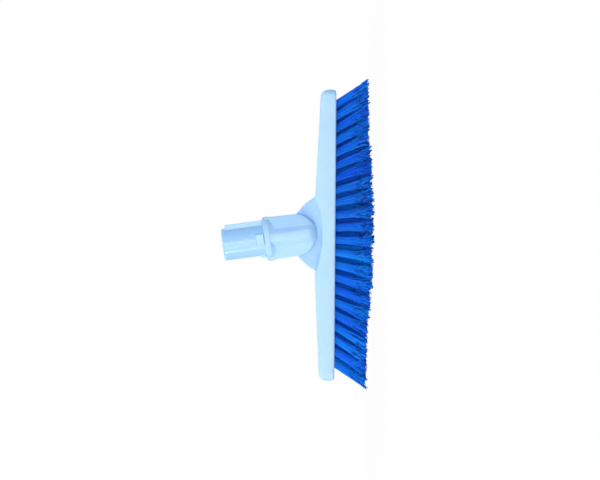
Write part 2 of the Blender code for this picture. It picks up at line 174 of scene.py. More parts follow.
COLLAR_EDGE = 0.0006
COLLAR_SQUARENESS = 2.5
COLLAR_SIDES = 128
YOKE_VOXEL = 0.00032
YOKE_EASING = 5

# Handle socket and pin
SEAT_FLOOR = 0.0214
SEAT_CLEARANCE = 0.0003
SEAT_SIDES = 96
SOCKET_RADIUS = 0.0128
SOCKET_FOOT = 0.0217
SOCKET_REACH = 0.0584
SOCKET_EDGE = 0.0009
BORE_RADIUS = 0.0098
BORE_FLOOR = 0.0247
STOP_FOOT = 0.0252
STOP_LENGTH = 0.0066
STOP_HEIGHT = 0.0017
STOP_SLOPE = 0.0030
STOP_TOP_SLOPE = 0.0004
KEY_END = 0.0553
KEY_HEIGHT = 0.0025
KEY_HALF_WIDTH = 0.0064
STOP_HALF_WIDTH = 0.00435
THREAD_PITCH = 0.00508
THREAD_TURNS = 4
THREAD_HEIGHT = 0.0015
THREAD_FOOT = 0.0026
THREAD_CREST = 0.0010
THREAD_START = 0.0331
THREAD_STEPS = 48
SOCKET_SIDES = 128
SOCKET_VOXEL = 0.00030
SOCKET_EASING = 4
PIN_RADIUS = 0.0030
PIN_SIDES = 64
PIN_CLEARANCE = 0.0003
PIN_END_GAP = 0.0003
PIN_END_CHAMFER = 0.0004
PIN_HEAD_RADIUS = 0.0050
PIN_HEAD_CLEARANCE = 0.0004
PIN_HEAD_THICKNESS = 0.0025
PIN_HEAD_GAP = 0.0003
PIN_HEAD_EDGE = 0.0009
PIN_DOME_RISE = 0.0010
PIN_DOME_STEPS = 8
PIN_HEAD_TOP_RADIUS = 0.0002
PIN_SEAT = 0.0096

# Places worked out from the sizes
ROW_HALF_LENGTH = HALF_LENGTH - ROW_END_MARGIN
TUFT_PITCH = 2 * ROW_HALF_LENGTH / (len(NODES_NEAR) - 1)
GOLDEN_SHARE = (3 - math.sqrt(5)) / 2

# Angles that count as a corner when edges are rounded, and as a sharp edge in shading
CORNER_ANGLE = math.radians(60)
SHARP_ANGLE = math.radians(40)

# Plastics: each one's colour, a slightly deeper one and its roughness, then what they share
BLOCK_PLASTIC = ((197, 230, 254), (191, 226, 253), 0.36)
# The lug is part of the block's moulding, given a darker copy of its plastic: painted shade for its
# recessed face
LUG_PLASTIC_PAINTED_SHADE = ((176, 214, 249), (171, 211, 248), 0.36)
YOKE_PLASTIC = ((192, 229, 254), (185, 224, 253), 0.34)
SOCKET_PLASTIC = ((184, 225, 253), (176, 219, 252), 0.24)
PLASTIC_ROUGHNESS_SPREAD = 0.08
CLOUD_SCALE = 55.0
CLOUD_START = 0.35
CLOUD_CONTRAST = 1.4
RIPPLE_SCALE = 190.0
RIPPLE_SHARE = 0.65
SKIN_SCALE = 2600.0
SKIN_BUMP = 0.0003
PLASTIC_SCATTER = (0.30, 0.8, 1.8)
PLASTIC_SCATTER_DEPTH = 0.0035

# Bristle fibre
FIBRE_COLOURS = ((0, 108, 250), (10, 160, 255))
FILAMENT_SHADES = (0.1, 0.6)
CLUMP_SHADES = (-0.25, 0.35)
TUFT_SHADES = (-0.15, 0.2)
STREAK_COLOUR = (58, 164, 255)
# Dark flecks near the tips: partly uneven tone of the fibre, partly painted shade where shadow
# falls between the tip clumps
PAINTED_SHADE_SPECK_COLOUR = (0, 70, 184)
STREAK_SCALE = 900.0
STREAK_START = 0.45
STREAK_CONTRAST = 0.5
SPECK_SCALE = 390.0
SPECK_STRETCH = (1.0, 1.0, 0.6)
SPECK_LIMIT = 0.53
SPECK_CONTRAST = 5.0
TIP_SHARES = (0.45, 0.75)
TIP_LIGHTENING = 0.15
FIBRE_LEAST_ROUGHNESS = 0.42
FIBRE_ROUGHNESS_SPREAD = 0.16

# Pin steel
STEEL_COLOURS = ((0.55, 0.56, 0.58, 1), (0.68, 0.69, 0.71, 1))
TURNING_SCALE = 1500.0
TURNING_BUMP = 0.0001
STEEL_LEAST_ROUGHNESS = 0.24
STEEL_ROUGHNESS_SPREAD = 0.14

# Light: each lamp's name, place, size, power in watts and colour
WORLD_LEVEL = 0.84
WORLD_COLOUR = (0.46, 0.60, 1.0, 1)
LAMPS = (
    ("key_lamp", (-1.20, -2.62, 0.20), 1.3, 37.0, (1.0, 0.93, 0.78)),
    ("front_lamp", (0.10, -2.90, 0.10), 0.9, 22.0, (1.0, 0.95, 0.88)),
    ("low_lamp", (-2.60, -1.57, 0.12), 0.20, 13.0, (1.0, 0.90, 0.76)),
    ("streak_lamp", (-0.52, -0.31, 0.035), 0.055, 0.16, (1.0, 0.96, 0.88)),
    ("left_lamp", (0.0, -2.00, 2.00), 1.0, 8.0, (1.0, 0.98, 0.95)),
    ("back_lamp", (-0.30, 1.30, 0.80), 1.2, 4.0, (1.0, 0.98, 0.95)),
)
LAMP_AIM_RISE_SHARE = 1.5
FLOOR_HALF_SIZE = 12.0
FLOOR_GREY = (0.50, 0.50, 0.50, 1)
FLOOR_GLOW_REACH = (0.08, 0.45)
FLOOR_GLOW_SHARES = (0.97, 1.0)
WHITE = (1, 1, 1, 1)


def linear(colour):
    """A colour given as it shows on screen, 0 to 255, as the shader wants it."""
    shown = [value / 255 for value in colour]
    return (*(v / 12.92 if v < 0.04045 else ((v + 0.055) / 1.055) ** 2.4 for v in shown), 1)


class Wire:
    """An output of a node. Arithmetic on it adds Math nodes to the same tree."""

    def __init__(self, tree, socket):
        self.tree = tree
        self.socket = socket

    def math(self, operation, *values):
        return add(self.tree, "ShaderNodeMath", {"operation": operation}, values)

    def __add__(self, other):
        return self.math("ADD", self, other)

    def __radd__(self, other):
        return self.math("ADD", other, self)

    def __sub__(self, other):
        return self.math("SUBTRACT", self, other)

    def __rsub__(self, other):
        return self.math("SUBTRACT", other, self)

    def __mul__(self, other):
        return self.math("MULTIPLY", self, other)

    def __rmul__(self, other):
        return self.math("MULTIPLY", other, self)

    def __truediv__(self, other):
        return self.math("DIVIDE", self, other)

    def __rtruediv__(self, other):
        return self.math("DIVIDE", other, self)

    def __pow__(self, other):
        return self.math("POWER", self, other)


def add(tree, kind, settings=None, values=(), output=None, **named):
    """Add a node: its settings first, then its sockets in order or by name."""
    node = tree.nodes.new(kind)
    for key, setting in (settings or {}).items():
        setattr(node, key, setting)
    sockets = [socket for socket in node.inputs if socket.enabled]
    pairs = list(zip(sockets, values))
    for name, value in named.items():
        label = name.replace("_", " ")
        pairs.append((next(s for s in sockets if s.name.lower() == label), value))
    for socket, value in pairs:
        if isinstance(value, Wire):
            tree.links.new(value.socket, socket)
        elif value is not None:
            socket.default_value = value
    shown = [socket for socket in node.outputs if socket.enabled]
    if not shown:
        return node
    found = shown[0] if output is None else next(s for s in shown if s.name == output)
    return Wire(tree, found)


def new_material(name):
    """An empty node material, with its tree."""
    made = bpy.data.materials.new(name)
    made.use_nodes = True
    made.node_tree.nodes.clear()
    return made, made.node_tree


def finish_material(tree, shader):
    output = tree.nodes.new("ShaderNodeOutputMaterial")
    tree.links.new(shader.socket, output.inputs["Surface"])


def noise(tree, place, scale, detail=2.0):
    """Cloudy noise over the piece, about 0.5 in the middle."""
    return add(
        tree, "ShaderNodeTexNoise", None, (), "Fac", vector=place, scale=scale, detail=detail,
    )


def mixed(tree, amount, first, second):
    """A colour between two others."""
    settings = {"data_type": "RGBA"}
    return add(tree, "ShaderNodeMix", settings, (), "Result", factor=amount, a=first, b=second)


def smooth_range(tree, value, before, after):
    """A value eased from one span to another."""
    return add(
        tree, "ShaderNodeMapRange", {"interpolation_type": "SMOOTHSTEP"}, (), "Result",
        value=value, from_min=before[0], from_max=before[1], to_min=after[0], to_max=after[1],
    )


def plastic(name, colour, deeper, roughness):
    """Moulded polypropylene: an even colour with faint flow clouds and a very fine skin."""
    made, tree = new_material(name)
    place = add(tree, "ShaderNodeTexCoord", None, (), "Object")
    clouds = noise(tree, place, CLOUD_SCALE, 3.0)
    skin = noise(tree, place, SKIN_SCALE, 2.0)
    ripple = noise(tree, place, RIPPLE_SCALE, 1.0)
    amount = (clouds - CLOUD_START) * CLOUD_CONTRAST
    base = mixed(tree, amount, linear(colour), linear(deeper))
    height = skin * (1 - RIPPLE_SHARE) + ripple * RIPPLE_SHARE
    bump = add(
        tree, "ShaderNodeBump", None, (), "Normal",
        strength=0.10, distance=SKIN_BUMP, height=height,
    )
    spread = PLASTIC_ROUGHNESS_SPREAD
    shader = add(
        tree, "ShaderNodeBsdfPrincipled", None, (), "BSDF",
        base_color=base, roughness=roughness + ripple * spread - spread / 2, normal=bump,
        ior=1.49, specular_ior_level=0.35, subsurface_weight=0.60,
        subsurface_radius=PLASTIC_SCATTER, subsurface_scale=PLASTIC_SCATTER_DEPTH,
    )
    finish_material(tree, shader)
    return made


def bristle_fibre():
    """Royal blue fibre: each filament a little lighter or darker, and the tips flecked, partly with
    painted shade between their clumps.
    """
    made, tree = new_material("bristle_fibre")
    shade = add(tree, "ShaderNodeAttribute", {"attribute_name": "shade"}, (), "Fac")
    along = add(tree, "ShaderNodeAttribute", {"attribute_name": "along"}, (), "Fac")
    place = add(tree, "ShaderNodeTexCoord", None, (), "Object")
    streak = noise(tree, place, STREAK_SCALE)
    drawn = add(tree, "ShaderNodeVectorMath", {"operation": "MULTIPLY"}, (place, SPECK_STRETCH))
    speck = noise(tree, drawn, SPECK_SCALE)
    tip = smooth_range(tree, along, TIP_SHARES, (0.0, 1.0))
    darker, lighter = FIBRE_COLOURS
    base = mixed(tree, shade + tip * TIP_LIGHTENING, linear(darker), linear(lighter))
    streaks = (streak - STREAK_START) * STREAK_CONTRAST
    base = mixed(tree, streaks, base, linear(STREAK_COLOUR))
    # Painted shade, with some uneven tone: dark flecks over the tips, where shadow falls between
    # the clumps
    painted_shade_specks = (SPECK_LIMIT - speck) * tip * SPECK_CONTRAST
    base = mixed(tree, painted_shade_specks, base, linear(PAINTED_SHADE_SPECK_COLOUR))
    roughness = FIBRE_LEAST_ROUGHNESS + streak * FIBRE_ROUGHNESS_SPREAD
    shader = add(
        tree, "ShaderNodeBsdfPrincipled", None, (), "BSDF",
        base_color=base, roughness=roughness, ior=1.45, specular_ior_level=0.25,
    )
    finish_material(tree, shader)
    return made


def steel():
    """Plain stainless steel with fine turning marks."""
    made, tree = new_material("pin_steel")
    place = add(tree, "ShaderNodeTexCoord", None, (), "Object")
    marks = noise(tree, place, TURNING_SCALE, 3.0)
    base = mixed(tree, marks, *STEEL_COLOURS)
    bump = add(
        tree, "ShaderNodeBump", None, (), "Normal",
        strength=0.15, distance=TURNING_BUMP, height=marks,
    )
    roughness = STEEL_LEAST_ROUGHNESS + marks * STEEL_ROUGHNESS_SPREAD
    shader = add(
        tree, "ShaderNodeBsdfPrincipled", None, (), "BSDF",
        base_color=base, metallic=1.0, roughness=roughness, normal=bump,
    )
    finish_material(tree, shader)
    return made


def placed(name, data):
    """A new object of the scene, at the origin."""
    made = bpy.data.objects.new(name, data)
    bpy.context.scene.collection.objects.link(made)
    return made


def ready(piece, body, slot, *nodes):
    """The piece stands for its CAD nodes and moves with their body."""
    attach(piece, body)
    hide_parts(*nodes)


def arc(centre, radius, start, end, steps):
    """Points along a round stretch of an outline."""
    turns = [start + (end - start) * i / steps for i in range(steps + 1)]
    return [(centre[0] + radius * math.cos(a), centre[1] + radius * math.sin(a)) for a in turns]


def solid(name, sections, finish=None):
    """A closed solid through loops of as many points each."""
    shape = bmesh.new()
    rings = [[shape.verts.new(point) for point in section] for section in sections]
    for lower, upper in zip(rings, rings[1:]):
        for i, corner in enumerate(lower):
            after = (i + 1) % len(lower)
            shape.faces.new((corner, lower[after], upper[after], upper[i]))
    shape.faces.new(reversed(rings[0]))
    shape.faces.new(rings[-1])
    bmesh.ops.recalc_face_normals(shape, faces=shape.faces)
    mesh = bpy.data.meshes.new(name)
    shape.to_mesh(mesh)
    shape.free()
    if finish:
        mesh.materials.append(finish)
    return placed(name, mesh)


def turned(name, stations, sides, finish=None):
    """A turned solid about Z from (radius, height) stations."""
    turns = [math.tau * i / sides for i in range(sides)]
    rings = [[(r * math.cos(a), r * math.sin(a), z) for a in turns] for r, z in stations]
    return solid(name, rings, finish)


def plate(name, outline, half_depth, finish=None):
    """A plate with its outline in XZ, centred on Y."""
    return solid(name, [[(x, y, z) for x, z in outline] for y in (-half_depth, half_depth)], finish)


def work_in(piece):
    """Replace the piece's mesh by what its modifiers make of it."""
    depsgraph = bpy.context.evaluated_depsgraph_get()
    mesh = bpy.data.meshes.new_from_object(piece.evaluated_get(depsgraph), depsgraph=depsgraph)
    mesh.name = piece.name
    piece.modifiers.clear()
    piece.data = mesh


def combine(piece, tool, operation):
    """Join a tool to the piece or cut it out of it, and drop the tool."""
    boolean = piece.modifiers.new("combine", "BOOLEAN")
    boolean.operation = operation
    boolean.object = tool
    boolean.solver = "EXACT"
    boolean.material_mode = "TRANSFER"
    work_in(piece)
    bpy.data.objects.remove(tool)


def smooth(piece):
    """Smooth shading, with the sharp edges kept."""
    piece.data.shade_smooth()
    piece.data.set_sharp_from_angle(angle=SHARP_ANGLE)


def bevel(piece, width, steps):
    """Round the piece's corners."""
    rounding = piece.modifiers.new("bevel", "BEVEL")
    rounding.width = width
    rounding.segments = steps
    rounding.limit_method = "ANGLE"
    rounding.angle_limit = CORNER_ANGLE
    work_in(piece)


def soften(piece, voxel, rounds):
    """Moulded corners: remesh the piece finely, then ease every edge and inner corner."""
    remesh = piece.modifiers.new("remesh", "REMESH")
    remesh.mode = "VOXEL"
    remesh.voxel_size = voxel
    remesh.use_smooth_shade = True
    ease = piece.modifiers.new("ease", "SMOOTH")
    ease.factor = 0.5
    ease.iterations = rounds
    work_in(piece)


def moved(piece, matrix):
    """Place a piece by its mesh, so that its object stays at the origin."""
    piece.data.transform(matrix)
    piece.data.update()


def end_inset(x, radius):
    """How far a rounded end has drawn in at a place along the block."""
    beyond = max(abs(x) - (HALF_LENGTH - radius), 0)
    return radius - math.sqrt(max(radius**2 - beyond**2, 0))


def block_thickness(x):
    """The block's full thickness at a place along it, before its ends are rounded."""
    taper = (BLOCK_THICKNESS - BLOCK_END_THICKNESS) / HALF_LENGTH
    sag = BLOCK_THICKNESS - taper * SCOOP_HALF_LENGTH - SCOOP_FLOOR_THICKNESS
    radius = (SCOOP_HALF_LENGTH**2 + sag**2) / (2 * sag)
    if abs(x) < SCOOP_HALF_LENGTH:
        return SCOOP_FLOOR_THICKNESS + radius - math.sqrt(radius**2 - x**2)
    return BLOCK_THICKNESS - taper * abs(x)


def block_section(x):
    """The block's cross-section at x: a rectangle with rounded corners."""
    half_width = BLOCK_WIDTH / 2 - end_inset(x, PLAN_END_RADIUS)
    foot = FACE_HEIGHT + end_inset(x, FOOT_END_RADIUS)
    top = FACE_HEIGHT + block_thickness(x) - end_inset(x, TOP_END_RADIUS)
    across = half_width - BLOCK_EDGE_RADIUS
    low = foot + BLOCK_EDGE_RADIUS
    high = top - BLOCK_EDGE_RADIUS
    points = []
    corners = ((across, low), (across, high), (-across, high), (-across, low))
    for quarter, corner in enumerate(corners, -1):
        start = quarter * math.pi / 2
        points += arc(corner, BLOCK_EDGE_RADIUS, start, start + math.pi / 2, BLOCK_EDGE_STEPS)
    return [(x, y, z) for y, z in points]


def tuft_holes():
    """One cutter with a leaning pin for each tuft's hole."""
    shape = bmesh.new()
    for side, count in ((-1, len(NODES_NEAR)), (1, len(NODES_FAR))):
        for i in range(count):
            place = (i - (count - 1) / 2) * TUFT_PITCH
            lean = END_LEAN * math.sin(math.pi / 2 * place / ROW_HALF_LENGTH)
            length = HOLE_DEPTH + HOLE_RADIUS
            reach = HOLE_DEPTH - length / 2
            middle = Vector((place + ROW_SHIFT, side * ROW_OFFSET, FACE_HEIGHT))
            middle += Vector((-math.sin(lean), 0, math.cos(lean))) * reach
            turn = Matrix.Translation(middle) @ Matrix.Rotation(-lean, 4, "Y")
            bmesh.ops.create_cone(
                shape, cap_ends=True, segments=HOLE_SIDES, radius1=HOLE_RADIUS,
                radius2=HOLE_RADIUS, depth=length, matrix=turn,
            )
    mesh = bpy.data.meshes.new("tuft_holes")
    shape.to_mesh(mesh)
    shape.free()
    return placed("tuft_holes", mesh)


def brush_block():
    """The block with its lug, one moulding."""
    finish = plastic("block_plastic", *BLOCK_PLASTIC)
    places = [SCOOP_HALF_LENGTH * i / SCOOP_STEPS for i in range(1, SCOOP_STEPS + 1)]
    for i in range(BLOCK_END_STEPS + 1):
        round_share = math.sin(math.pi / 2 * i / BLOCK_END_STEPS)
        places.append(HALF_LENGTH - TOP_END_RADIUS + TOP_END_RADIUS * round_share)
    places = [-x for x in reversed(places)] + [0] + places
    block = solid("block", [block_section(x) for x in places], finish)

    centre = FACE_HEIGHT + LUG_CENTRE_RISE
    slope = math.asin((LUG_RADIUS - LUG_NOSE_RADIUS) / (PIVOT.z - centre))
    start = math.asin(SCOOP_FLOOR_THICKNESS / 2 / LUG_RADIUS)
    right = arc((LUG_SHIFT, centre), LUG_RADIUS, start, slope, LUG_STEPS)
    nose = arc((0, PIVOT.z), LUG_NOSE_RADIUS, slope, math.pi - slope, LUG_NOSE_STEPS)
    outline = right + nose + [(2 * LUG_SHIFT - x, z) for x, z in reversed(right)]
    # Painted shade: the lug's face gets a darker copy of the block's plastic
    lug = plate("lug", outline, LUG_THICKNESS / 2, plastic("lug_plastic_painted_shade", *LUG_PLASTIC_PAINTED_SHADE))
    bevel(lug, LUG_EDGE_RADIUS, LUG_EDGE_STEPS)
    combine(block, lug, "UNION")
    combine(block, tuft_holes(), "DIFFERENCE")
    bore_radius = PIN_RADIUS + PIN_CLEARANCE
    stations = [(bore_radius, -LUG_THICKNESS), (bore_radius, LUG_THICKNESS)]
    bore = turned("bore", stations, LUG_BORE_SIDES)
    moved(bore, Matrix.Translation(PIVOT) @ Matrix.Rotation(math.pi / 2, 4, "X"))
    combine(block, bore, "DIFFERENCE")
    smooth(block)
    ready(block, "brush_head", "block_plastic", "brush_block")


def oval(half_width, half_depth, height):
    """A ring between an ellipse and a rectangle."""
    points = []
    for i in range(COLLAR_SIDES):
        turn = math.tau * i / COLLAR_SIDES
        c, s = math.cos(turn), math.sin(turn)
        x = half_width * math.copysign(abs(c) ** (2 / COLLAR_SQUARENESS), c)
        y = half_depth * math.copysign(abs(s) ** (2 / COLLAR_SQUARENESS), s)
        points.append((x, y, height))
    return points


def collar():
    """The yoke's collar: it flares up from the cheeks, under a flat rim."""
    rim_foot = COLLAR_REACH - COLLAR_RIM_DEPTH
    inner_width = FORK_END_RADIUS
    inner_depth = CHEEK_FACE - COLLAR_EDGE
    sections = [oval(inner_width, inner_depth, SLOT_DEPTH - COLLAR_BLEND)]
    for i in range(1, COLLAR_BLEND_STEPS + 1):
        share = i / COLLAR_BLEND_STEPS
        outward = share**COLLAR_BLEND_POWER
        half_width = inner_width + (COLLAR_HALF_WIDTH - inner_width) * outward
        half_depth = inner_depth + (COLLAR_HALF_DEPTH - inner_depth) * outward
        sections.append(oval(half_width, half_depth, rim_foot - COLLAR_BLEND * (1 - share)))
    sections.append(oval(COLLAR_HALF_WIDTH, COLLAR_HALF_DEPTH, COLLAR_REACH - COLLAR_EDGE))
    inset_width, inset_depth = COLLAR_HALF_WIDTH - COLLAR_EDGE, COLLAR_HALF_DEPTH - COLLAR_EDGE
    sections.append(oval(inset_width, inset_depth, COLLAR_REACH))
    return solid("collar", sections)


def cheek_ribs():
    """The raised rib down the middle of both cheeks, round at its end, where it runs out."""
    rib_top = COLLAR_REACH - COLLAR_RIM_DEPTH / 2
    sections = []
    for i in range(RIB_STEPS + 1):
        z = -RIB_REACH + (RIB_REACH + rib_top) * (i / RIB_STEPS) ** RIB_STEP_POWER
        into = min((z + RIB_REACH) / RIB_RUNOUT, 1)
        share = math.sqrt(1 - (1 - into) ** 2)
        rise = into**RIB_RISE_POWER
        half = max(RIB_HALF_WIDTH * share, RIB_LEAST_HALF_WIDTH)
        face = CHEEK_FACE + RIB_HEIGHT * rise
        foot = half + RIB_FOOT_SPREAD * share
        shoulder = CHEEK_FACE + (RIB_HEIGHT - RIB_CROWN) * rise
        corners = [(foot, 0), (foot, CHEEK_FACE), (half, shoulder), (half / 3, face)]
        corners += [(-x, y) for x, y in reversed(corners)]
        outline = corners + [(x, -y) for x, y in reversed(corners) if y]
        sections.append([(x, y, z) for x, y in outline])
    return solid("ribs", sections)


def swivel_place():
    """Where the swivel stands: its own frame has the pivot at 0 and the handle's way up."""
    tilt = math.atan2(SWIVEL_WAY.x, SWIVEL_WAY.z)
    return Matrix.Translation(PIVOT) @ Matrix.Rotation(tilt, 4, "Y")


def across_bore(name, stations):
    """A turned cutter or pin that lies across the brush, its top towards +Y."""
    made = turned(name, stations, PIN_SIDES)
    moved(made, Matrix.Rotation(-math.pi / 2, 4, "X"))
    return made


def swivel_yoke():
    """The fork and its collar, one moulding with soft corners."""
    side = COLLAR_HALF_WIDTH - COLLAR_EDGE / 2
    top = COLLAR_REACH + CHEEK_EDGE_RADIUS
    outline = arc((0, 0), FORK_END_RADIUS, -math.pi, 0, FORK_END_STEPS)
    outline += [(side, top), (-side, top)]
    yoke = plate("yoke", outline, CHEEK_FACE, plastic("yoke_plastic", *YOKE_PLASTIC))
    bevel(yoke, CHEEK_EDGE_RADIUS, CHEEK_EDGE_STEPS)
    rib_foot = RIB_HALF_WIDTH + RIB_FOOT_SPREAD
    beyond = 2 * FORK_END_RADIUS
    crest = CHEEK_FACE + CHEEK_FACET_LIFT
    low = CHEEK_FACE - CHEEK_FACET_SLOPE * (beyond - rib_foot)
    facets = [(rib_foot, crest), (-rib_foot, crest), (-beyond, low), (-beyond, -low)]
    facets += [(-rib_foot, -crest), (rib_foot, -crest), (beyond, -low), (beyond, low)]
    ends = (-beyond, COLLAR_REACH - COLLAR_RIM_DEPTH / 2)
    prism = solid("facets", [[(x, y, z) for x, y in facets] for z in ends])
    combine(yoke, prism, "INTERSECT")
    combine(yoke, collar(), "UNION")
    combine(yoke, cheek_ribs(), "UNION")
    past = 2 * COLLAR_HALF_WIDTH
    slot_outline = [(-past, -past), (past, -past), (past, SLOT_DEPTH), (-past, SLOT_DEPTH)]
    combine(yoke, plate("slot", slot_outline, SLOT_HALF_WIDTH), "DIFFERENCE")
    seat = SOCKET_RADIUS + SEAT_CLEARANCE
    stations = [(seat, SEAT_FLOOR), (seat, past)]
    combine(yoke, turned("seat", stations, SEAT_SIDES), "DIFFERENCE")
    bore = PIN_RADIUS + PIN_CLEARANCE
    head = PIN_HEAD_RADIUS + PIN_HEAD_CLEARANCE
    stations = [(bore, -PIN_SEAT), (bore, PIN_SEAT), (head, PIN_SEAT), (head, past)]
    combine(yoke, across_bore("pin_bore", stations), "DIFFERENCE")
    soften(yoke, YOKE_VOXEL, YOKE_EASING)
    moved(yoke, swivel_place())
    ready(yoke, "swivel", "yoke_plastic", "swivel_yoke")


def pivot_pin():
    """The pin, with a low domed head."""
    end = PIN_END_GAP - PIN_SEAT
    under_head = PIN_SEAT + PIN_HEAD_GAP
    dome_foot = PIN_SEAT + PIN_HEAD_THICKNESS - PIN_HEAD_EDGE
    stations = [
        (PIN_RADIUS - PIN_END_CHAMFER, end), (PIN_RADIUS, end + PIN_END_CHAMFER),
        (PIN_RADIUS, under_head), (PIN_HEAD_RADIUS, under_head),
    ]
    for i in range(PIN_DOME_STEPS + 1):
        angle = math.pi / 2 * i / PIN_DOME_STEPS
        radius = PIN_HEAD_RADIUS * math.cos(angle) + PIN_HEAD_TOP_RADIUS
        stations.append((radius, dome_foot + PIN_DOME_RISE * math.sin(angle)))
    pin = across_bore("pin", stations)
    pin.data.materials.append(steel())
    smooth(pin)
    moved(pin, swivel_place())
    ready(pin, "swivel", "pin_steel", "pivot_pin")


def thread_ridge():
    """The handle thread's ridge inside the bore, one unbroken helix."""
    root = BORE_RADIUS + THREAD_HEIGHT / 2
    crest = BORE_RADIUS - THREAD_HEIGHT
    section = [
        (root, -THREAD_FOOT / 2), (root, THREAD_FOOT / 2),
        (crest, THREAD_CREST / 2), (crest, -THREAD_CREST / 2),
    ]
    rings = []
    for i in range(THREAD_TURNS * THREAD_STEPS + 1):
        turn = i / THREAD_STEPS
        c, s = math.cos(math.tau * turn), math.sin(math.tau * turn)
        height = THREAD_START + THREAD_PITCH * turn
        rings.append([(radius * c, radius * s, height + rise) for radius, rise in section])
    return solid("thread", rings)


def socket_stop(turn, half_width, top, height, slope):
    """A lug or the long key along the tube's side, from the collar up."""
    inner = (BORE_RADIUS + SOCKET_RADIUS) / 2
    outer = SOCKET_RADIUS + height
    outline = [(inner, STOP_FOOT), (outer, STOP_FOOT), (outer, top - slope), (inner, top)]
    made = plate("stop", outline, half_width)
    moved(made, Matrix.Rotation(turn, 4, "Z"))
    return made


def handle_socket():
    """The threaded tube that a handle screws into."""
    edge = SOCKET_EDGE
    stations = [
        (SOCKET_RADIUS - edge, SOCKET_FOOT), (SOCKET_RADIUS, SOCKET_FOOT + edge),
        (SOCKET_RADIUS, SOCKET_REACH - edge), (SOCKET_RADIUS - edge, SOCKET_REACH),
    ]
    socket = turned("socket", stations, SOCKET_SIDES, plastic("socket_plastic", *SOCKET_PLASTIC))
    key = socket_stop(0, KEY_HALF_WIDTH, KEY_END, KEY_HEIGHT, STOP_TOP_SLOPE)
    combine(socket, key, "UNION")
    stop_top = STOP_FOOT + STOP_LENGTH
    slopes = (STOP_TOP_SLOPE, STOP_SLOPE, STOP_TOP_SLOPE)
    for turn, slope in zip((math.pi / 2, math.pi, -math.pi / 2), slopes):
        stop = socket_stop(turn, STOP_HALF_WIDTH, stop_top, STOP_HEIGHT, slope)
        combine(socket, stop, "UNION")
    stations = [
        (BORE_RADIUS, BORE_FLOOR), (BORE_RADIUS, SOCKET_REACH - edge),
        (BORE_RADIUS + 2 * edge, SOCKET_REACH + edge),
    ]
    combine(socket, turned("bore", stations, SOCKET_SIDES), "DIFFERENCE")
    combine(socket, thread_ridge(), "UNION")
    soften(socket, SOCKET_VOXEL, SOCKET_EASING)
    moved(socket, swivel_place())
    ready(socket, "swivel", "socket_plastic", "handle_socket")


